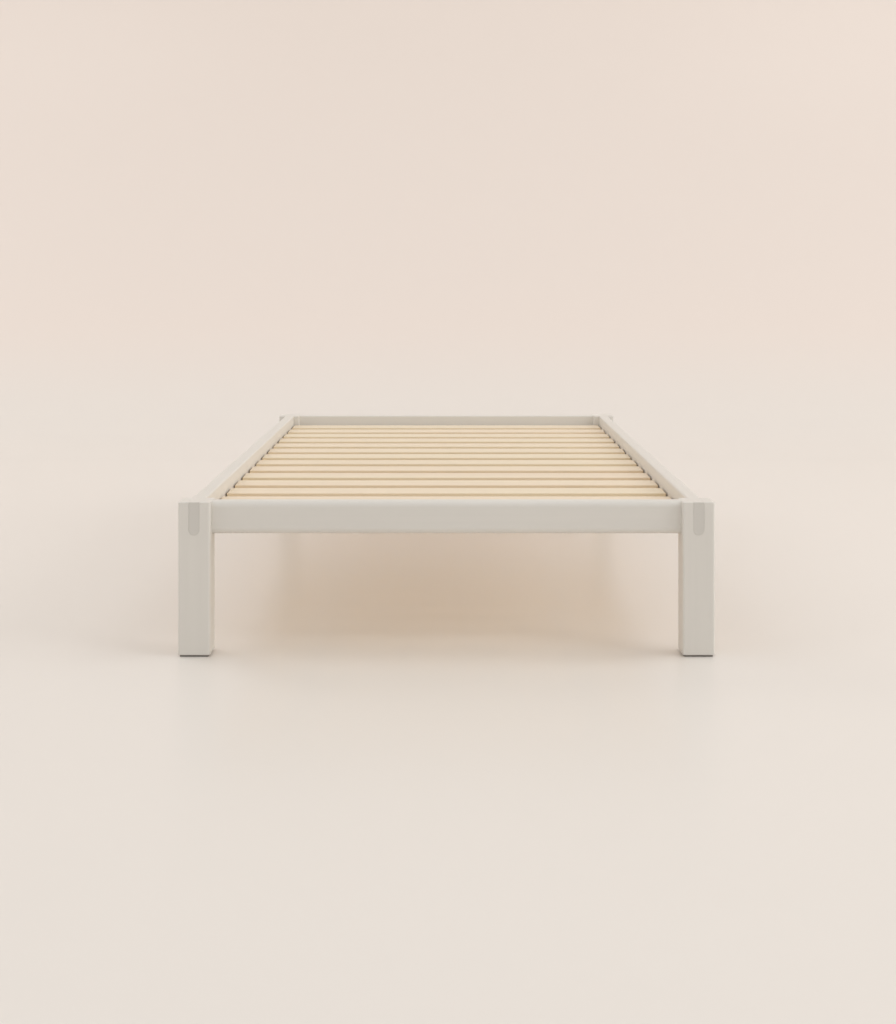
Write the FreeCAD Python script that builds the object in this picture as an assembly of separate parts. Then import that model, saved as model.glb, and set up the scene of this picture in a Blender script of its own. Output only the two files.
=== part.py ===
import FreeCAD
import Part
import math
import os

# Toddler floor bed: four slotted legs, two side rails that drop into them, two end rails,
# and a slatted base that rests on ledges and lifts out. Millimetres, +Z up, the foot end at -Y,
# origin on the floor in the middle of the bed.

Vector = FreeCAD.Vector
X_AXIS = Vector(1, 0, 0)
Y_AXIS = Vector(0, 1, 0)
Z_AXIS = Vector(0, 0, 1)

# Mattress that the frame is made for, and the room left around it
MATTRESS_WIDTH = 711.0
MATTRESS_LENGTH = 1321.0
MATTRESS_SIDE_CLEARANCE = 4.5
MATTRESS_END_CLEARANCE = 7.0

# Legs and their foot pads
LEG_WIDTH = 47.0
LEG_HEIGHT = 224.0
LEG_EDGE_RADIUS = 3.0
LEG_TOP_RADIUS = 1.5
LEG_FOOT_RADIUS = 0.5
PAD_THICKNESS = 3.0
PAD_INSET = 2.0
PAD_CORNER_RADIUS = 3.0
PAD_EDGE_RADIUS = 0.6

# Rails
RAIL_THICKNESS = 21.0
RAIL_HEIGHT = 49.0
RAIL_EDGE_RADIUS = 3.0
END_RAIL_OUTER_RADIUS = 9.5
TONGUE_SHOULDER = 2.5
TONGUE_UNDERCUT = 0.5
TONGUE_RECESS = 0.1
TONGUE_END_CHAMFER = 0.15
SLOT_CLEARANCE = 0.1

# Slats
SLAT_COUNT = 14
SLAT_WIDTH = 60.0
SLAT_THICKNESS = 12.0
SLAT_TOP_BELOW_RAIL = 21.0
SLAT_SIDE_CLEARANCE = 3.0
SLAT_LEG_CLEARANCE = 3.5
SLAT_EDGE_RADIUS = 2.0
SLAT_END_CHAMFER = 0.6

# Ledges that carry the slats, and their screws
LEDGE_WIDTH = 18.0
LEDGE_HEIGHT = 13.0
LEDGE_END_GAP = 1.0
LEDGE_EDGE_RADIUS = 1.5
SCREWS_PER_LEDGE = 8
SCREW_END_DISTANCE = 45.0
SCREW_DIAMETER = 4.0
SCREW_HEAD_DIAMETER = 8.0
SCREW_HEAD_HEIGHT = 2.4
SCREW_BITE = 13.0
SCREW_TIP_LENGTH = 4.0
SCREW_SINK = 0.4
SCREW_RECESS_WIDTH = 0.9
SCREW_RECESS_LENGTH = 4.4
SCREW_RECESS_DEPTH = 1.6
SCREW_HOLE_CLEARANCE = 0.1

# Webbing under the slats, and its staples
STRAP_WIDTH = 25.0
STRAP_THICKNESS = 1.2
STRAP_FROM_SLAT_END = 110.0
STAPLE_WIRE = 1.0
STAPLE_CROWN = 11.0
STAPLE_BITE = 6.0
STAPLE_HOLE_CLEARANCE = 0.05

# Bolts, barrel nuts and dowels that join each leg to its two rails
BOLT_DIAMETER = 6.0
BOLT_HEAD_DIAMETER = 17.0
BOLT_HEAD_HEIGHT = 2.2
BOLT_HEAD_CHAMFER = 0.7
BOLT_HEAD_SINK = 0.5
BOLT_HEAD_CLEARANCE = 0.5
BOLT_HOLE_CLEARANCE = 0.3
BOLT_PAST_NUT = 5.0
BOLT_TIP_CHAMFER = 0.8
HEX_SOCKET_FLATS = 4.0
HEX_SOCKET_DEPTH = 3.5
NUT_DIAMETER = 10.0
NUT_LENGTH = 14.0
NUT_FROM_RAIL_END = 32.0
NUT_HOLE_CLEARANCE = 0.2
NUT_THREAD_CLEARANCE = 0.05
NUT_END_CHAMFER = 0.6
NUT_SLOT_WIDTH = 1.4
NUT_SLOT_DEPTH = 1.2
DOWEL_DIAMETER = 8.0
DOWEL_IN_LEG = 11.5
DOWEL_IN_RAIL = 18.0
DOWEL_END_CHAMFER = 0.8
DOWEL_OFFSET = 14.0
DOWEL_HOLE_CLEARANCE = 0.05
DOWEL_HOLE_SPARE = 0.5

# Heights
leg_bottom = PAD_THICKNESS
frame_top = leg_bottom + LEG_HEIGHT
rail_bottom = frame_top - RAIL_HEIGHT
rail_middle = frame_top - RAIL_HEIGHT / 2
tongue_bottom = rail_bottom + TONGUE_UNDERCUT
slat_top = frame_top - SLAT_TOP_BELOW_RAIL
slat_bottom = slat_top - SLAT_THICKNESS
strap_bottom = slat_bottom - STRAP_THICKNESS

# Widths, from the middle of the bed outwards
rail_inner_x = MATTRESS_WIDTH / 2 + MATTRESS_SIDE_CLEARANCE
leg_x = rail_inner_x + RAIL_THICKNESS / 2
slat_length = 2 * (rail_inner_x - SLAT_SIDE_CLEARANCE)
strap_x = slat_length / 2 - STRAP_FROM_SLAT_END
ledge_inner_x = rail_inner_x - LEDGE_WIDTH

# Lengths, from the middle of the bed outwards
rail_inner_y = MATTRESS_LENGTH / 2 + MATTRESS_END_CLEARANCE
leg_y = rail_inner_y + RAIL_THICKNESS / 2
leg_inner_y = leg_y - LEG_WIDTH / 2
leg_outer_y = leg_y + LEG_WIDTH / 2
end_rail_length = 2 * (leg_x - LEG_WIDTH / 2)
deck_length = 2 * (leg_inner_y - SLAT_LEG_CLEARANCE)
slat_pitch = (deck_length - SLAT_WIDTH) / (SLAT_COUNT - 1)

# The slot in the leg, round the side rail's tongue
tongue_thickness = RAIL_THICKNESS - 2 * TONGUE_SHOULDER
slot_width = tongue_thickness + 2 * SLOT_CLEARANCE


def box(x_range, y_range, z_range):
    """A box between the two values of each range."""
    corner = Vector(x_range[0], y_range[0], z_range[0])
    return Part.makeBox(
        x_range[1] - x_range[0], y_range[1] - y_range[0], z_range[1] - z_range[0], corner
    )


def centred(middle, width):
    """The two ends of a width about its middle."""
    return (middle - width / 2, middle + width / 2)


def cylinder(diameter, length, start, direction):
    """A round bar from a start point along a direction."""
    return Part.makeCylinder(diameter / 2, length, start, direction)


def chamfered_bar(diameter, length, chamfer, start, direction):
    """A round bar with both of its ends chamfered."""
    bar = cylinder(diameter, length, start, direction)
    rims = [edge for edge in bar.Edges if isinstance(edge.Curve, Part.Circle)]
    return bar.makeChamfer(chamfer, rims)


def is_parallel(one, other):
    """Whether two unit vectors point the same way or opposite ways."""
    return math.isclose(abs(one.dot(other)), 1.0, abs_tol=0.001)


def edges_along(shape, direction, wanted=lambda middle: True):
    """The straight edges of a shape along a direction whose middles are wanted."""
    found = []
    for edge in shape.Edges:
        if not isinstance(edge.Curve, Part.Line):
            continue
        run = edge.Vertexes[-1].Point - edge.Vertexes[0].Point
        if is_parallel(run.normalize(), direction) and wanted(edge.CenterOfMass):
            found.append(edge)
    return found


def end_rims(shape, direction):
    """The edges round the flat faces of a shape that face along a direction or against it."""
    ends = [face for face in shape.Faces if is_parallel(face.normalAt(0, 0), direction)]
    return [edge for face in ends for edge in face.Edges]


def rims_at(shape, x):
    """The round edges of a bar along X that lie at a given x."""
    rims = [edge for edge in shape.Edges if isinstance(edge.Curve, Part.Circle)]
    return [edge for edge in rims if math.isclose(edge.CenterOfMass.x, x, abs_tol=0.001)]


def moved(shape, x=0.0, y=0.0, z=0.0):
    """A copy of a shape, moved."""
    copy = shape.copy()
    copy.translate(Vector(x, y, z))
    return copy


def turned(shape):
    """A copy of a shape, turned half round the vertical through the origin."""
    copy = shape.copy()
    copy.rotate(Vector(0, 0, 0), Z_AXIS, 180)
    return copy


def save(name, *solids):
    """Write one sub-part, of one solid or a group of them."""
    shape = solids[0] if len(solids) == 1 else Part.makeCompound(list(solids))
    shape.exportStep("parts/" + name + ".step")


def dowel_heights():
    """Heights of the two dowels at each end of an end rail."""
    return (rail_middle - DOWEL_OFFSET, rail_middle + DOWEL_OFFSET)


def round_bottomed_bar(thickness, y_range, bottom, top):
    """A bar along Y with a flat top and a fully rounded bottom, centred on x = 0."""
    radius = thickness / 2
    upper = box((-radius, radius), y_range, (bottom + radius, top))
    start = Vector(0, y_range[0], bottom + radius)
    lower = cylinder(thickness, y_range[1] - y_range[0], start, Y_AXIS)
    return upper.fuse(lower).removeSplitter()


# ---------------------------------------------------------------- legs

def make_leg():
    """A leg centred on the vertical through the origin, its outer side towards +X."""
    half = LEG_WIDTH / 2
    leg = box((-half, half), (-half, half), (leg_bottom, frame_top))
    leg = leg.makeFillet(LEG_EDGE_RADIUS, edges_along(leg, Z_AXIS))
    rims = end_rims(leg, Z_AXIS)
    leg = leg.makeFillet(LEG_TOP_RADIUS, [edge for edge in rims if edge.CenterOfMass.z > frame_top / 2])
    foot_rim = [edge for edge in end_rims(leg, Z_AXIS) if edge.CenterOfMass.z < frame_top / 2]
    leg = leg.makeFillet(LEG_FOOT_RADIUS, foot_rim)

    slot_bottom = tongue_bottom - SLOT_CLEARANCE
    leg = leg.cut(round_bottomed_bar(slot_width, (-LEG_WIDTH, LEG_WIDTH), slot_bottom, frame_top + half))

    bolt_hole = BOLT_DIAMETER + 2 * BOLT_HOLE_CLEARANCE
    leg = leg.cut(cylinder(bolt_hole, 2 * LEG_WIDTH, Vector(-LEG_WIDTH, 0, rail_middle), X_AXIS))
    head_hole = BOLT_HEAD_DIAMETER + 2 * BOLT_HEAD_CLEARANCE
    seat = Vector(half - BOLT_HEAD_SINK - BOLT_HEAD_HEIGHT, 0, rail_middle)
    leg = leg.cut(cylinder(head_hole, LEG_WIDTH, seat, X_AXIS))

    dowel_hole = DOWEL_DIAMETER + 2 * DOWEL_HOLE_CLEARANCE
    for height in dowel_heights():
        mouth = Vector(-half, 0, height)
        leg = leg.cut(cylinder(dowel_hole, DOWEL_IN_LEG + DOWEL_HOLE_SPARE, mouth, X_AXIS))
    return leg


def make_foot_pad():
    """A square pad under a leg, centred on the vertical through the origin."""
    half = LEG_WIDTH / 2 - PAD_INSET
    pad = box((-half, half), (-half, half), (0, PAD_THICKNESS))
    pad = pad.makeFillet(PAD_CORNER_RADIUS, edges_along(pad, Z_AXIS))
    base_rim = [edge for edge in end_rims(pad, Z_AXIS) if edge.CenterOfMass.z < PAD_THICKNESS / 2]
    return pad.makeFillet(PAD_EDGE_RADIUS, base_rim)


def make_bolt():
    """A flat-head bolt through a leg and its tongue, placed as the leg is."""
    under_head = LEG_WIDTH / 2 - BOLT_HEAD_SINK - BOLT_HEAD_HEIGHT
    tip = -LEG_WIDTH / 2 - NUT_FROM_RAIL_END - NUT_DIAMETER / 2 - BOLT_PAST_NUT
    shank = cylinder(BOLT_DIAMETER, under_head - tip, Vector(tip, 0, rail_middle), X_AXIS)
    shank = shank.makeChamfer(BOLT_TIP_CHAMFER, rims_at(shank, tip))

    head = cylinder(BOLT_HEAD_DIAMETER, BOLT_HEAD_HEIGHT, Vector(under_head, 0, rail_middle), X_AXIS)
    face_x = under_head + BOLT_HEAD_HEIGHT
    head = head.makeChamfer(BOLT_HEAD_CHAMFER, rims_at(head, face_x))

    corner_distance = HEX_SOCKET_FLATS / math.sqrt(3)
    corners = []
    for step in range(7):
        angle = math.radians(60 * step)
        y = corner_distance * math.cos(angle)
        z = rail_middle + corner_distance * math.sin(angle)
        corners.append(Vector(face_x - HEX_SOCKET_DEPTH, y, z))
    socket = Part.Face(Part.makePolygon(corners)).extrude(X_AXIS * LEG_WIDTH)
    return shank.fuse(head).cut(socket).removeSplitter()


# ---------------------------------------------------------------- end rails

def end_rail_ends():
    """Each end of the end rail: its x and the direction from it into the rail."""
    half = end_rail_length / 2
    return ((-half, X_AXIS), (half, -X_AXIS))


def make_end_rail():
    """The front rail, centred on y = 0, its inner side towards +Y."""
    half_thickness = RAIL_THICKNESS / 2
    half_length = end_rail_length / 2
    rail = box((-half_length, half_length), (-half_thickness, half_thickness), (rail_bottom, frame_top))
    rail = rail.makeFillet(RAIL_EDGE_RADIUS, edges_along(rail, X_AXIS, lambda middle: middle.y > 0))
    outer_edges = edges_along(rail, X_AXIS, lambda middle: middle.y < -half_thickness / 2)
    rail = rail.makeFillet(END_RAIL_OUTER_RADIUS, outer_edges)

    bolt_hole = BOLT_DIAMETER + 2 * BOLT_HOLE_CLEARANCE
    bolt_reach = NUT_FROM_RAIL_END + NUT_DIAMETER / 2 + BOLT_PAST_NUT + DOWEL_HOLE_SPARE
    nut_hole = NUT_DIAMETER + 2 * NUT_HOLE_CLEARANCE
    dowel_hole = DOWEL_DIAMETER + 2 * DOWEL_HOLE_CLEARANCE
    for end_x, inward in end_rail_ends():
        rail = rail.cut(cylinder(bolt_hole, bolt_reach, Vector(end_x, 0, rail_middle), inward))
        nut_x = end_x + inward.x * NUT_FROM_RAIL_END
        nut_hole_top = Vector(nut_x, 0, rail_middle + NUT_LENGTH / 2 + NUT_HOLE_CLEARANCE)
        rail = rail.cut(cylinder(nut_hole, RAIL_HEIGHT, nut_hole_top, -Z_AXIS))
        for height in dowel_heights():
            mouth = Vector(end_x, 0, height)
            rail = rail.cut(cylinder(dowel_hole, DOWEL_IN_RAIL + DOWEL_HOLE_SPARE, mouth, inward))
    return rail


def make_barrel_nuts():
    """The two upright cross nuts in an end rail, placed as the rail is."""
    nuts = []
    thread = BOLT_DIAMETER + 2 * NUT_THREAD_CLEARANCE
    for end_x, inward in end_rail_ends():
        nut_x = end_x + inward.x * NUT_FROM_RAIL_END
        nut_bottom = rail_middle - NUT_LENGTH / 2
        start = Vector(nut_x, 0, nut_bottom)
        nut = chamfered_bar(NUT_DIAMETER, NUT_LENGTH, NUT_END_CHAMFER, start, Z_AXIS)
        through = Vector(nut_x - NUT_DIAMETER, 0, rail_middle)
        nut = nut.cut(cylinder(thread, 2 * NUT_DIAMETER, through, X_AXIS))
        slot = box(
            centred(nut_x, 2 * NUT_DIAMETER),
            centred(0, NUT_SLOT_WIDTH),
            (nut_bottom - NUT_SLOT_DEPTH, nut_bottom + NUT_SLOT_DEPTH),
        )
        nuts.append(nut.cut(slot))
    return nuts


def make_dowels():
    """The four dowels of an end rail, placed as the rail is."""
    dowels = []
    length = DOWEL_IN_LEG + DOWEL_IN_RAIL
    for end_x, inward in end_rail_ends():
        for height in dowel_heights():
            start = Vector(end_x - inward.x * DOWEL_IN_LEG, 0, height)
            dowels.append(chamfered_bar(DOWEL_DIAMETER, length, DOWEL_END_CHAMFER, start, inward))
    return dowels


# ---------------------------------------------------------------- side rails and ledges

def screw_places():
    """Distances along the bed of the screws in a ledge."""
    half = leg_inner_y - SCREW_END_DISTANCE
    spacing = 2 * half / (SCREWS_PER_LEDGE - 1)
    return [-half + spacing * n for n in range(SCREWS_PER_LEDGE)]


def screw_height():
    """Height of the ledge's screws: the middle of the ledge."""
    return slat_bottom - LEDGE_HEIGHT / 2


def screw_shape(clearance):
    """A countersunk screw with its head in the ledge's inner face, its tip towards +X, at y = 0."""
    radius = SCREW_DIAMETER / 2 + clearance
    head_radius = SCREW_HEAD_DIAMETER / 2 + clearance
    face_x = ledge_inner_x + SCREW_SINK
    shank_x = face_x + SCREW_HEAD_HEIGHT
    tip_x = rail_inner_x + SCREW_BITE
    z = screw_height()
    head = Part.makeCone(head_radius, radius, SCREW_HEAD_HEIGHT, Vector(face_x, 0, z), X_AXIS)
    shank_length = tip_x - SCREW_TIP_LENGTH - shank_x
    shank = cylinder(2 * radius, shank_length, Vector(shank_x, 0, z), X_AXIS)
    tip_start = Vector(tip_x - SCREW_TIP_LENGTH, 0, z)
    tip = Part.makeCone(radius, radius / 4, SCREW_TIP_LENGTH + clearance, tip_start, X_AXIS)
    return head.fuse([shank, tip]).removeSplitter()


def make_screw():
    """A ledge screw with a cross recess in its head."""
    screw = screw_shape(0.0)
    face_x = ledge_inner_x + SCREW_SINK
    depth = (face_x - SCREW_RECESS_DEPTH, face_x + SCREW_RECESS_DEPTH)
    long_way = SCREW_RECESS_LENGTH
    short_way = SCREW_RECESS_WIDTH
    upright = box(depth, centred(0, short_way), centred(screw_height(), long_way))
    level = box(depth, centred(0, long_way), centred(screw_height(), short_way))
    return screw.cut(upright).cut(level)


def screw_hole():
    """The hole that a ledge screw makes, open at the ledge's inner face."""
    head_diameter = SCREW_HEAD_DIAMETER + 2 * SCREW_HOLE_CLEARANCE
    mouth = Vector(ledge_inner_x - LEDGE_WIDTH, 0, screw_height())
    mouth_hole = cylinder(head_diameter, LEDGE_WIDTH + SCREW_SINK, mouth, X_AXIS)
    return screw_shape(SCREW_HOLE_CLEARANCE).fuse(mouth_hole)


def screw_holes():
    """All the screw holes of one side, as one cutter."""
    return Part.makeCompound([moved(screw_hole(), y=place) for place in screw_places()])


def make_side_rail_body():
    """The side rail between its legs, centred on x = 0."""
    half = RAIL_THICKNESS / 2
    body = box((-half, half), (-leg_inner_y, leg_inner_y), (rail_bottom, frame_top))
    return body.makeFillet(RAIL_EDGE_RADIUS, edges_along(body, Y_AXIS))


def make_tongues():
    """The side rail's two tongues, one through each leg, centred on x = 0."""
    tongue_end = leg_outer_y - TONGUE_RECESS
    bar = round_bottomed_bar(tongue_thickness, (-tongue_end, tongue_end), tongue_bottom, frame_top)
    bar = bar.makeChamfer(TONGUE_END_CHAMFER, end_rims(bar, Y_AXIS))
    between_legs = box((-LEG_WIDTH, LEG_WIDTH), (-leg_inner_y, leg_inner_y), (0, 2 * frame_top))
    return bar.cut(between_legs)


def make_side_rail():
    """The right side rail with its two tongues."""
    rail = make_side_rail_body().fuse(make_tongues())
    rail = moved(rail, x=leg_x)
    bolt_hole = BOLT_DIAMETER + 2 * BOLT_HOLE_CLEARANCE
    for bolt_y in (-leg_y, leg_y):
        start = Vector(leg_x - LEG_WIDTH / 2, bolt_y, rail_middle)
        rail = rail.cut(cylinder(bolt_hole, LEG_WIDTH, start, X_AXIS))
    return rail.cut(screw_holes())


def make_ledge():
    """The right ledge, against the side rail's inner face and under the slats' ends."""
    half_length = leg_inner_y - LEDGE_END_GAP
    ledge = box(
        (ledge_inner_x, rail_inner_x),
        (-half_length, half_length),
        (slat_bottom - LEDGE_HEIGHT, slat_bottom),
    )
    inner_edges = edges_along(ledge, Y_AXIS, lambda middle: middle.x < rail_inner_x - LEDGE_WIDTH / 2)
    ledge = ledge.makeFillet(LEDGE_EDGE_RADIUS, inner_edges)
    return ledge.cut(screw_holes())


# ---------------------------------------------------------------- slatted base

def staple_shape(clearance):
    """A staple up through a strap into a slat, at y = 0 and centred on x = 0."""
    wire = STAPLE_WIRE + 2 * clearance
    crown_bottom = strap_bottom - STAPLE_WIRE
    top = slat_bottom + STAPLE_BITE + clearance
    leg_x_offset = (STAPLE_CROWN - STAPLE_WIRE) / 2
    crown = box(centred(0, STAPLE_CROWN), centred(0, wire), (crown_bottom, strap_bottom))
    legs = [
        box(centred(side * leg_x_offset, wire), centred(0, wire), (crown_bottom, top))
        for side in (-1, 1)
    ]
    return crown.fuse(legs).removeSplitter()


def slat_places():
    """Middles of the slats along the bed, from the foot end."""
    first = -(deck_length - SLAT_WIDTH) / 2
    return [first + slat_pitch * n for n in range(SLAT_COUNT)]


def make_slat():
    """A slat across the bed at y = 0, with the holes of its two staples."""
    slat = box(centred(0, slat_length), centred(0, SLAT_WIDTH), (slat_bottom, slat_top))
    slat = slat.makeFillet(SLAT_EDGE_RADIUS, edges_along(slat, X_AXIS))
    slat = slat.makeChamfer(SLAT_END_CHAMFER, end_rims(slat, X_AXIS))
    for side in (-1, 1):
        slat = slat.cut(moved(staple_shape(STAPLE_HOLE_CLEARANCE), x=side * strap_x))
    return slat


def make_staples():
    """The staples of the right strap, one in each slat."""
    return [moved(staple_shape(0.0), x=strap_x, y=place) for place in slat_places()]


def make_strap():
    """The right strap, flat under the slats from the first to the last."""
    strap = box(
        centred(strap_x, STRAP_WIDTH),
        centred(0, deck_length),
        (strap_bottom, slat_bottom),
    )
    holes = [moved(staple_shape(STAPLE_HOLE_CLEARANCE), x=strap_x, y=place) for place in slat_places()]
    return strap.cut(Part.makeCompound(holes))


# ---------------------------------------------------------------- the bed

def write_legs():
    """The four legs and foot pads, and the bolts through them."""
    leg = make_leg()
    pad = make_foot_pad()
    bolt = make_bolt()
    bolts = []
    for end_name, end in (("front", -1), ("rear", 1)):
        for side_name, side in (("left", -1), ("right", 1)):
            place = {"x": side * leg_x, "y": end * leg_y}
            corner = end_name + "_" + side_name
            save("leg_" + corner, moved(leg if side > 0 else turned(leg), **place))
            save("foot_pad_" + corner, moved(pad, **place))
            bolts.append(moved(bolt if side > 0 else turned(bolt), **place))
    save("rail_bolts", *bolts)


def write_end_rails():
    """The front and rear rails, their barrel nuts and their dowels."""
    rail = make_end_rail()
    nuts = make_barrel_nuts()
    dowels = make_dowels()
    save("end_rail_front", moved(rail, y=-leg_y))
    save("end_rail_rear", moved(turned(rail), y=leg_y))
    front_nuts = [moved(nut, y=-leg_y) for nut in nuts]
    rear_nuts = [moved(turned(nut), y=leg_y) for nut in nuts]
    save("barrel_nuts", *front_nuts, *rear_nuts)
    front_dowels = [moved(dowel, y=-leg_y) for dowel in dowels]
    rear_dowels = [moved(dowel, y=leg_y) for dowel in dowels]
    save("rail_dowels", *front_dowels, *rear_dowels)


def write_side_rails():
    """The side rails, their ledges and the ledges' screws."""
    rail = make_side_rail()
    ledge = make_ledge()
    screws = [moved(make_screw(), y=place) for place in screw_places()]
    save("side_rail_right", rail)
    save("side_rail_left", turned(rail))
    save("slat_ledge_right", ledge)
    save("slat_ledge_left", turned(ledge))
    save("ledge_screws_right", *screws)
    save("ledge_screws_left", *[turned(screw) for screw in screws])


def write_slatted_base():
    """The slats, the straps that space them and the staples."""
    slat = make_slat()
    for number, place in enumerate(slat_places(), start=1):
        save("slat_%02d" % number, moved(slat, y=place))
    strap = make_strap()
    staples = make_staples()
    save("slat_strap_right", strap)
    save("slat_strap_left", turned(strap))
    save("strap_staples_right", *staples)
    save("strap_staples_left", *[turned(staple) for staple in staples])


os.makedirs("parts", exist_ok=True)
write_legs()
write_end_rails()
write_side_rails()
write_slatted_base()
print("bed", 2 * (leg_x + LEG_WIDTH / 2), "wide", 2 * leg_outer_y, "long", frame_top, "high")
print("slat pitch", round(slat_pitch, 2), "gap", round(slat_pitch - SLAT_WIDTH, 2))
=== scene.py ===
import math

import bpy
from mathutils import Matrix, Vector


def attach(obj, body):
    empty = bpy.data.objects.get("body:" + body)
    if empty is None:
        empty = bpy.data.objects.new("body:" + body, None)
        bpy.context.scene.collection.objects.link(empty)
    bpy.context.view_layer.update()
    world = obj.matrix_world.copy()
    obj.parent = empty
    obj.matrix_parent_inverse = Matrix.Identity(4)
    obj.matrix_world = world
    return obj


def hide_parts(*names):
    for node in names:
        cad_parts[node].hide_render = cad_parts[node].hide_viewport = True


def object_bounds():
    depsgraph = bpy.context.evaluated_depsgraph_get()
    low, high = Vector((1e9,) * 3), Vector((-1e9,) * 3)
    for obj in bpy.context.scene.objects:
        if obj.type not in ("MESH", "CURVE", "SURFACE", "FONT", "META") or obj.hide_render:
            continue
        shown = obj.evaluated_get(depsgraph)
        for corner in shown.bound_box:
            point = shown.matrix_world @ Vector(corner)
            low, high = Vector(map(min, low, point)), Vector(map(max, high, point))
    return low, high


# Toddler floor bed. Metres, +Z up, the front end at -Y, origin on the floor in the bed's middle.

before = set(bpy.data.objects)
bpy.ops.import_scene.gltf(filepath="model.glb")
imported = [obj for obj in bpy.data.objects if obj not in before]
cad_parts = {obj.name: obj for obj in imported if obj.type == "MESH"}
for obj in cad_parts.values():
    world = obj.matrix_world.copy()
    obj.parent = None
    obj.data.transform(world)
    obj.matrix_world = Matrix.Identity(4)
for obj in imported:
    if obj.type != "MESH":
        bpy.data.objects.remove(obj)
cad_low, cad_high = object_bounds()

# ------------------------------------------------------------------ camera
# The photograph's frame in pixels: level camera, upright verticals, horizon above the middle.
PHOTO_WIDTH = 896
PHOTO_HEIGHT = 1024
HORIZON_ROW = 274.0
BED_MIDDLE_COLUMN = 446.4
FOCAL_PIXELS = 1524.0
SENSOR_MM = 36.0
CAMERA_TO_LEGS = 2.2365
CAMERA_HEIGHT = 0.5622
NEAREST_SEEN = 0.05
FARTHEST_SEEN = 60.0


def make_camera():
    """A level camera in front of the bed, shifted so that the horizon falls on its row."""
    data = bpy.data.cameras.new("camera")
    data.sensor_fit = "AUTO"  # the sensor spans the longer side of the picture, its height
    data.sensor_width = SENSOR_MM
    data.lens = FOCAL_PIXELS / PHOTO_HEIGHT * SENSOR_MM
    data.shift_x = (PHOTO_WIDTH / 2 - BED_MIDDLE_COLUMN) / PHOTO_HEIGHT
    data.shift_y = (HORIZON_ROW - PHOTO_HEIGHT / 2) / PHOTO_HEIGHT
    data.clip_start = NEAREST_SEEN
    data.clip_end = FARTHEST_SEEN
    camera = bpy.data.objects.new("camera", data)
    bpy.context.collection.objects.link(camera)
    middle_x = (cad_low.x + cad_high.x) / 2
    camera.location = (middle_x, cad_low.y - CAMERA_TO_LEGS, CAMERA_HEIGHT)
    camera.rotation_euler = (math.radians(90), 0, 0)
    bpy.context.scene.camera = camera


make_camera()


# ------------------------------------------------------------------ shader building
WHITE = (1.0, 1.0, 1.0)
# Most of a noise pattern's values lie between these two.
NOISE_LOW = 0.3
NOISE_HIGH = 0.7


def with_alpha(colour):
    """A colour as a socket takes it: an output stays as it is, and three numbers get an alpha of 1."""
    return colour if isinstance(colour, bpy.types.NodeSocket) else (*colour, 1.0)


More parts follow.
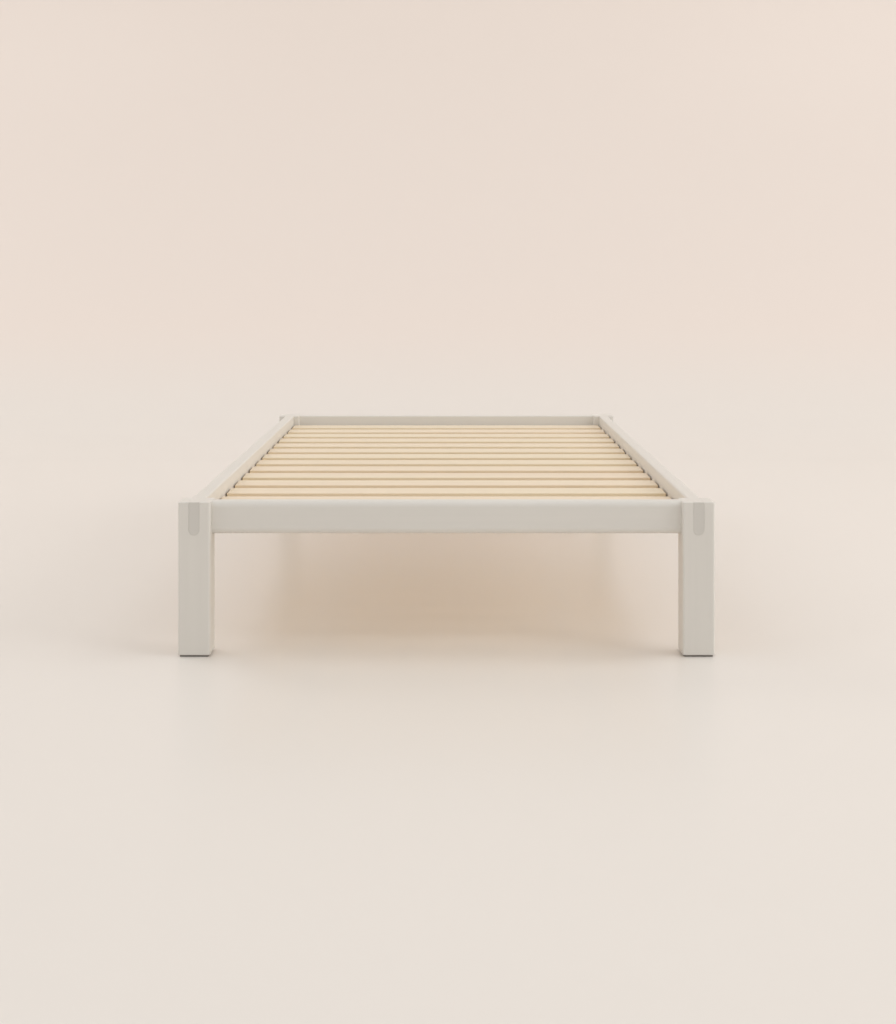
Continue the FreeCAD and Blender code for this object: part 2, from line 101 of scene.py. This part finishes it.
class Surface:
    """A material with a Principled shader and the few nodes that its pattern needs."""

    def __init__(self, name, roughness, metallic=0.0):
        self.material = bpy.data.materials.new(name)
        self.material.use_nodes = True
        self.tree = self.material.node_tree
        self.shader = self.tree.nodes["Principled BSDF"]
        self.shader.inputs["Roughness"].default_value = roughness
        self.shader.inputs["Metallic"].default_value = metallic
        self.coordinates = self.node("ShaderNodeTexCoord").outputs["Object"]

    def node(self, kind, **inputs):
        """A new node with its named inputs linked to an output or set to a value."""
        node = self.tree.nodes.new(kind)
        for name, value in inputs.items():
            self.feed(node.inputs[name.replace("_", " ")], value)
        return node

    def feed(self, socket, value):
        """Links an output to a socket, or sets the socket's value."""
        if isinstance(value, bpy.types.NodeSocket):
            self.tree.links.new(value, socket)
        else:
            socket.default_value = value

    def place(self, axis):
        """The object coordinate along an axis."""
        return self.node("ShaderNodeSeparateXYZ", Vector=self.coordinates).outputs[axis]

    def normal(self, axis):
        """The surface normal's part along an axis of the object, from -1 to 1."""
        normal = self.node("ShaderNodeTexCoord").outputs["Normal"]
        return self.node("ShaderNodeSeparateXYZ", Vector=normal).outputs[axis]

    def calculate(self, operation, first, second=0.0):
        """The result of an operation on two numbers, or on the first alone."""
        node = self.tree.nodes.new("ShaderNodeMath")
        node.operation = operation
        self.feed(node.inputs[0], first)
        self.feed(node.inputs[1], second)
        return node.outputs["Value"]

    def product(self, first, second):
        """One number times another."""
        return self.calculate("MULTIPLY", first, second)

    def weighted(self, first, second, first_share):
        """The mean of two numbers, in which the first has the given share."""
        first_part = self.product(first, first_share)
        second_part = self.product(second, 1 - first_share)
        return self.calculate("ADD", first_part, second_part)

    def facing(self, axis):
        """How squarely the surface faces along an axis of the object, either way, from 0 to 1."""
        return self.calculate("ABSOLUTE", self.normal(axis))

    def from_middle(self):
        """The level distance from the origin."""
        squares = [self.product(self.place(axis), self.place(axis)) for axis in "XY"]
        return self.calculate("SQRT", self.calculate("ADD", *squares))

    def wave(self, axis, length):
        """A sine wave of a length in metres along an axis, from -1 to 1."""
        return self.calculate("SINE", self.product(self.place(axis), 2 * math.pi / length))

    def noise(self, scale, detail, roughness=0.5, distortion=0.0):
        """Noise from 0 to 1 with its own number of cycles a metre along each axis."""
        stretch = self.node("ShaderNodeMapping", Vector=self.coordinates, Scale=scale)
        node = self.node(
            "ShaderNodeTexNoise",
            Vector=stretch.outputs["Vector"],
            Scale=1.0,
            Detail=detail,
            Roughness=roughness,
            Distortion=distortion,
        )
        return node.outputs["Fac"]

    def between(self, value, low=NOISE_LOW, high=NOISE_HIGH, to_low=0.0, to_high=1.0):
        """A number carried smoothly from one range to another, and held at its ends."""
        node = self.tree.nodes.new("ShaderNodeMapRange")
        node.interpolation_type = "SMOOTHSTEP"
        names = ("Value", "From Min", "From Max", "To Min", "To Max")
        for name, number in zip(names, (value, low, high, to_low, to_high)):
            self.feed(node.inputs[name], number)
        return node.outputs["Result"]

    def blend(self, factor, first, second, mode="MIX"):
        """A colour between two colours, each a tuple or an output, or with the second multiplied in."""
        node = self.tree.nodes.new("ShaderNodeMix")
        node.data_type = "RGBA"
        node.blend_type = mode
        self.feed(node.inputs["Factor"], factor)
        colour_sockets = [socket for socket in node.inputs if socket.type == "RGBA"]
        for socket, colour in zip(colour_sockets, (first, second)):
            self.feed(socket, with_alpha(colour))
        return next(socket for socket in node.outputs if socket.type == "RGBA")

    def colour(self, value):
        """Gives the surface its colour, a tuple or an output."""
        self.feed(self.shader.inputs["Base Color"], with_alpha(value))

    def vary_roughness(self, pattern, smooth, rough):
        """Makes the surface smoother where a noise pattern is low, and rougher where it is high."""
        self.feed(self.shader.inputs["Roughness"], self.between(pattern, to_low=smooth, to_high=rough))

    def bump(self, height, depth):
        """Relief of a depth in metres from a height between 0 and 1."""
        node = self.node("ShaderNodeBump", Height=height, Strength=1.0, Distance=depth)
        self.feed(self.shader.inputs["Normal"], node.outputs["Normal"])

    def fade(self, factor, colour):
        """Shows one even colour, as bright as written, in place of the surface where the factor is 1."""
        glow = self.node("ShaderNodeEmission", Color=with_alpha(colour), Strength=1.0)
        either = self.node("ShaderNodeMixShader", Fac=factor)
        self.tree.links.new(self.shader.outputs["BSDF"], either.inputs[1])
        self.tree.links.new(glow.outputs["Emission"], either.inputs[2])
        output = self.tree.nodes["Material Output"]
        self.tree.links.new(either.outputs["Shader"], output.inputs["Surface"])


def tinted(colour, factor):
    """A colour made lighter or darker."""
    return tuple(channel * factor for channel in colour)


def along(axis, lengthways, crossways):
    """A pattern's scale that runs along one axis and is fine across it."""
    return tuple(lengthways if name == axis else crossways for name in "XYZ")


def even(scale):
    """A pattern's scale that is the same along every axis."""
    return (scale, scale, scale)


# ------------------------------------------------------------------ floor and backdrop
FLOOR_COLOUR = (0.834, 0.786, 0.731)
FLOOR_ROUGHNESS = 0.27
FLOOR_SPECULAR = 0.18
WALL_COLOUR = (0.864, 0.768, 0.698)
SEEN_FAR_AWAY = (0.83, 0.735, 0.665)
FADE_START = 4.3
FADE_END = 8.0
COVE_START = 1.7
COVE_RADIUS = 2.4
COVE_STEPS = 24
WALL_COLOUR_FROM_HEIGHT = COVE_RADIUS / 6
BACKDROP_FRONT = -9.0
BACKDROP_HALF_WIDTH = 12.0
BACKDROP_HEIGHT = 9.0


def seen_directly(tree):
    """1 for what the camera sees, straight or in a reflection, and 0 for light that falls on things."""
    rays = tree.nodes.new("ShaderNodeLightPath")
    seen = rays.outputs["Is Camera Ray"]
    for other in ("Is Glossy Ray", "Is Transmission Ray"):
        either = tree.nodes.new("ShaderNodeMath")
        either.operation = "MAXIMUM"
        tree.links.new(seen, either.inputs[0])
        tree.links.new(rays.outputs[other], either.inputs[1])
        seen = either.outputs["Value"]
    return seen


def make_backdrop():
    """A satin floor that curves up into a wall behind the bed; far away both show as one pale colour."""
    profile = [(BACKDROP_FRONT, 0.0), (COVE_START, 0.0)]
    for step in range(1, COVE_STEPS + 1):
        angle = math.radians(90) * step / COVE_STEPS
        y = COVE_START + COVE_RADIUS * math.sin(angle)
        z = COVE_RADIUS * (1 - math.cos(angle))
        profile.append((y, z))
    profile.append((COVE_START + COVE_RADIUS, BACKDROP_HEIGHT))
    vertices = []
    for y, z in profile:
        vertices.append((-BACKDROP_HALF_WIDTH, y, z))
        vertices.append((BACKDROP_HALF_WIDTH, y, z))
    faces = [(2 * n, 2 * n + 1, 2 * n + 3, 2 * n + 2) for n in range(len(profile) - 1)]
    mesh = bpy.data.meshes.new("backdrop")
    mesh.from_pydata(vertices, [], faces)
    mesh.polygons.foreach_set("use_smooth", [True] * len(mesh.polygons))
    backdrop = bpy.data.objects.new("backdrop", mesh)
    bpy.context.collection.objects.link(backdrop)

    surface = Surface("backdrop", roughness=FLOOR_ROUGHNESS)
    surface.shader.inputs["Specular IOR Level"].default_value = FLOOR_SPECULAR
    up_the_cove = surface.between(surface.place("Z"), 0.0, WALL_COLOUR_FROM_HEIGHT)
    surface.colour(surface.blend(up_the_cove, FLOOR_COLOUR, WALL_COLOUR))
    far_away = surface.between(surface.from_middle(), FADE_START, FADE_END)
    surface.fade(surface.product(far_away, seen_directly(surface.tree)), SEEN_FAR_AWAY)
    mesh.materials.append(surface.material)


make_backdrop()


# ------------------------------------------------------------------ light
BED_MIDDLE = (0.0, 0.0, 0.1)
FRONT_HALF = (0.0, -0.3, 0.1)
FRONT_END = (0.0, -0.6, 0.1)


def make_world(strength):
    """Even white light from all round; what is seen there is the far backdrop's colour."""
    world = bpy.data.worlds.new("studio")
    world.use_nodes = True
    tree = world.node_tree
    light = tree.nodes["Background"]
    light.inputs["Color"].default_value = with_alpha(WHITE)
    light.inputs["Strength"].default_value = strength
    seen = tree.nodes.new("ShaderNodeBackground")
    seen.inputs["Color"].default_value = with_alpha(SEEN_FAR_AWAY)
    either = tree.nodes.new("ShaderNodeMixShader")
    tree.links.new(seen_directly(tree), either.inputs[0])
    tree.links.new(light.outputs[0], either.inputs[1])
    tree.links.new(seen.outputs[0], either.inputs[2])
    tree.links.new(either.outputs[0], tree.nodes["World Output"].inputs["Surface"])
    bpy.context.scene.world = world


def make_lamp(name, place, target, size, power):
    """A round soft box that faces a target."""
    data = bpy.data.lights.new(name, "AREA")
    data.shape = "DISK"
    data.size = size
    data.energy = power
    lamp = bpy.data.objects.new(name, data)
    bpy.context.collection.objects.link(lamp)
    lamp.location = place
    lamp.rotation_euler = (Vector(target) - Vector(place)).to_track_quat("-Z", "Y").to_euler()


make_world(strength=0.685)
make_lamp("above_right", place=(3.2, 0.0, 5.7), target=BED_MIDDLE, size=2.6, power=28.5)
make_lamp("above_left", place=(-3.2, 0.0, 5.7), target=BED_MIDDLE, size=2.6, power=25.5)
make_lamp("key_right", place=(4.2, -2.6, 3.4), target=FRONT_HALF, size=2.0, power=19.0)
make_lamp("front_right", place=(8.8, -5.0, 4.6), target=FRONT_END, size=4.4, power=97.0)
make_lamp("front_left", place=(-8.8, -5.0, 4.6), target=FRONT_END, size=4.4, power=48.0)
make_lamp("side_right", place=(9.0, 0.5, 3.6), target=BED_MIDDLE, size=5.4, power=150.0)
make_lamp("behind_left", place=(-4.8, 3.6, 4.0), target=BED_MIDDLE, size=3.0, power=61.0)


# ------------------------------------------------------------------ materials
PAINT = (0.747, 0.714, 0.656)
TONGUE_END_SHADE = 0.87
# Beyond this distance from the middle, a side rail's faces to front and rear are its tongues' ends.
TONGUE_ENDS_BEYOND = 0.6645
PINE = (0.845, 0.741, 0.567)
PINE_WARM = (0.859, 0.732, 0.568)
PINE_BAND = (0.815, 0.691, 0.512)
PINE_WARM_BAND = (0.818, 0.677, 0.512)
# Multiplied into the pine: painted shade on upright edges, painted warm bounce light on undersides, and
# on ends a darker end-grain tone deepened with painted shade.
PINE_SIDE_PAINTED_SHADE = (0.97, 0.93, 0.85)
PINE_UNDERSIDE_PAINTED_BOUNCE_LIGHT = (1.07, 0.95, 0.75)
PINE_END_GRAIN_AND_PAINTED_SHADE = (0.66, 0.58, 0.50)
BEECH = (0.62, 0.43, 0.27)
RUBBER = (0.24, 0.222, 0.203)
ZINC = (0.62, 0.62, 0.60)
WIRE = (0.60, 0.59, 0.56)
COTTON = (0.76, 0.71, 0.62)
WEAVE_RIB_PITCH = 0.0018
WEAVE_WARP_PITCH = 0.0025


def make_paint(name, grain_axis, with_tongues=False):
    """Satin paint over planed wood: faint grain along the piece and the roller's fine stipple."""
    surface = Surface(name, roughness=0.42)
    grain = surface.noise(along(grain_axis, 3.0, 140.0), detail=4.0, roughness=0.6)
    stipple = surface.noise(even(900.0), detail=2.0)
    clouds = surface.noise(even(5.0), detail=2.0)
    tone = surface.weighted(grain, clouds, first_share=0.5)
    colour = surface.blend(surface.between(tone), tinted(PAINT, 0.985), tinted(PAINT, 1.015))
    if with_tongues:
        from_middle = surface.calculate("ABSOLUTE", surface.place("Y"))
        in_leg = surface.calculate("GREATER_THAN", from_middle, TONGUE_ENDS_BEYOND)
        tongue_end = surface.product(in_leg, surface.between(surface.facing("Y"), 0.8, 0.95))
        colour = surface.blend(tongue_end, colour, tinted(PAINT, TONGUE_END_SHADE))
    surface.colour(colour)
    surface.bump(surface.weighted(grain, stipple, first_share=0.7), depth=0.00012)
    surface.vary_roughness(clouds, smooth=0.38, rough=0.46)
    return surface.material


def make_pine(name, grain_axis):
    """Bare planed pine: pale growth bands and fine fibres along the piece, darker end grain deepened by
    painted shade, painted shade on its sides and painted bounce light below.
    """
    surface = Surface(name, roughness=0.55)
    drift = surface.noise(along(grain_axis, 0.9, 9.0), detail=1.0)
    bands = surface.noise(along(grain_axis, 1.6, 75.0), detail=3.0, roughness=0.55, distortion=0.4)
    fibres = surface.noise(along(grain_axis, 12.0, 700.0), detail=2.0)
    tone = surface.weighted(bands, fibres, first_share=0.6)
    warmth = surface.between(drift, 0.35, 0.65)
    pale = surface.blend(warmth, tinted(PINE, 1.02), PINE_WARM)
    dark = surface.blend(warmth, PINE_BAND, PINE_WARM_BAND)
    face = surface.blend(surface.between(tone, 0.38, 0.72, to_low=0.15), pale, dark)
    upward = surface.normal("Z")
    # Painted light: upright sides get a darker, yellower painted shade, and undersides a warmer painted
    # bounce light.
    painted_shade_tint = surface.blend(surface.between(upward, 0.4, 0.9), PINE_SIDE_PAINTED_SHADE, WHITE)
    painted_shade_tint = surface.blend(surface.between(upward, -0.9, -0.6), PINE_UNDERSIDE_PAINTED_BOUNCE_LIGHT, painted_shade_tint)
    face = surface.blend(1.0, face, painted_shade_tint, mode="MULTIPLY")
    # End faces darker: partly end grain's own tone, partly painted shade for the gaps at the slat ends.
    end_grain = surface.between(surface.facing(grain_axis), 0.75, 0.95)
    surface.colour(surface.blend(end_grain, face, PINE_END_GRAIN_AND_PAINTED_SHADE, mode="MULTIPLY"))
    surface.bump(tone, depth=0.00015)
    return surface.material


def make_beech():
    """Turned beech: warm, with short darker flecks along the dowel."""
    surface = Surface("dowel_beech", roughness=0.5)
    flecks = surface.noise(along("X", 40.0, 600.0), detail=3.0)
    surface.colour(surface.blend(surface.between(flecks, 0.4, 0.65), BEECH, tinted(BEECH, 0.7)))
    surface.bump(flecks, depth=0.0001)
    return surface.material


def make_rubber():
    """Matt moulded rubber."""
    surface = Surface("pad_rubber", roughness=0.75)
    grain = surface.noise(even(1200.0), detail=2.0)
    surface.colour(surface.blend(grain, tinted(RUBBER, 0.85), tinted(RUBBER, 1.2)))
    surface.bump(grain, depth=0.0001)
    return surface.material


def make_plated(name, colour, roughness):
    """Plated steel with faint mottling, a little rougher where it is paler."""
    surface = Surface(name, roughness=roughness, metallic=1.0)
    mottle = surface.noise(even(350.0), detail=3.0)
    surface.colour(surface.blend(mottle, tinted(colour, 0.88), tinted(colour, 1.08)))
    surface.vary_roughness(mottle, smooth=roughness, rough=roughness + 0.12)
    return surface.material


def make_cotton():
    """Plain-woven webbing: ribs across the strap that warp threads pass over and under."""
    surface = Surface("strap_webbing", roughness=0.85)
    ribs = surface.wave("Y", WEAVE_RIB_PITCH)
    warp = surface.wave("X", WEAVE_WARP_PITCH)
    weave = surface.between(surface.product(ribs, warp), -0.8, 0.8)
    surface.colour(surface.blend(weave, tinted(COTTON, 0.86), COTTON))
    surface.bump(weave, depth=0.0003)
    return surface.material


upright_paint = make_paint("frame_paint_upright", "Z")
side_paint = make_paint("frame_paint_side", "Y", with_tongues=True)
end_paint = make_paint("frame_paint_end", "X")
slat_pine = make_pine("slat_pine", "X")
ledge_pine = make_pine("ledge_pine", "Y")
beech = make_beech()
rubber = make_rubber()
zinc = make_plated("fastener_zinc", ZINC, roughness=0.3)
wire = make_plated("staple_wire", WIRE, roughness=0.38)
cotton = make_cotton()

# A node takes the first material whose text its name starts with. Bolts, nuts and screws come last.
MATERIAL_OF = (
    ("leg_", upright_paint),
    ("end_rail", end_paint),
    ("side_rail", side_paint),
    ("slat_ledge", ledge_pine),
    ("slat_strap", cotton),
    ("slat_", slat_pine),
    ("foot_pad", rubber),
    ("rail_dowels", beech),
    ("strap_staples", wire),
    ("", zinc),
)
for name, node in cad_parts.items():
    material = next(material for start, material in MATERIAL_OF if name.startswith(start))
    node.data.materials.clear()
    node.data.materials.append(material)


# ------------------------------------------------------------------ webbing straps
# The sizes of the slats, and of the plain straps that the webbing stands for.
STRAP_X = 0.247
STRAP_WIDTH = 0.025
STRAP_THICKNESS = 0.0011
STRAP_TOP = 0.19395
STRAP_LENGTH = 1.302
STRAP_SAG = 0.0010
STRAP_ROWS = 520
SLAT_PITCH = 0.0955385
SLAT_WIDTH = 0.060
SELVEDGE_STEPS = 6
FACE_STEPS = 5


def strap_section():
    """The strap's outline across its width, about its middle: flat faces and rounded selvedges."""
    radius = STRAP_THICKNESS / 2
    flat = STRAP_WIDTH / 2 - radius
    outline = []
    for side in (1, -1):
        for step in range(SELVEDGE_STEPS + 1):
            angle = math.pi * (0.5 - step / SELVEDGE_STEPS)
            outline.append((side * (flat + radius * math.cos(angle)), side * radius * math.sin(angle)))
        for step in range(1, FACE_STEPS):
            outline.append((side * flat * (1 - 2 * step / FACE_STEPS), -side * radius))
    return outline


def strap_drop(y):
    """How far the strap hangs below the slats at a place along the bed: only between two slats."""
    first_slat = (SLAT_WIDTH - STRAP_LENGTH) / 2
    from_slat = abs((y - first_slat + SLAT_PITCH / 2) % SLAT_PITCH - SLAT_PITCH / 2)
    into_gap = from_slat - SLAT_WIDTH / 2
    if into_gap <= 0:
        return 0.0
    return STRAP_SAG * math.sin(math.pi * into_gap / (SLAT_PITCH - SLAT_WIDTH)) ** 2


def make_strap(side_name, x, material):
    """A webbing strap under the slats, which it follows with a little slack between them."""
    outline = strap_section()
    count = len(outline)
    vertices = []
    for row in range(STRAP_ROWS + 1):
        y = STRAP_LENGTH * (row / STRAP_ROWS - 0.5)
        middle = STRAP_TOP - STRAP_THICKNESS / 2 - strap_drop(y)
        vertices.extend((x + across, y, middle + up) for across, up in outline)
    front_end = tuple(reversed(range(count)))
    rear_end = tuple(range(STRAP_ROWS * count, (STRAP_ROWS + 1) * count))
    faces = [front_end, rear_end]
    for row in range(STRAP_ROWS):
        near = row * count
        far = near + count
        for n in range(count):
            after = (n + 1) % count
            faces.append((near + n, near + after, far + after, far + n))
    mesh = bpy.data.meshes.new("webbing_" + side_name)
    mesh.from_pydata(vertices, [], faces)
    mesh.polygons.foreach_set("use_smooth", [len(face) == 4 for face in faces])
    mesh.materials.append(material)
    strap = bpy.data.objects.new("webbing_" + side_name, mesh)
    bpy.context.collection.objects.link(strap)
    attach(strap, "slatted_base")
    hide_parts("slat_strap_" + side_name)


make_strap("left", -STRAP_X, cotton)
make_strap("right", STRAP_X, cotton)


# ------------------------------------------------------------------ finish
bpy.context.scene.view_settings.view_transform = "Standard"
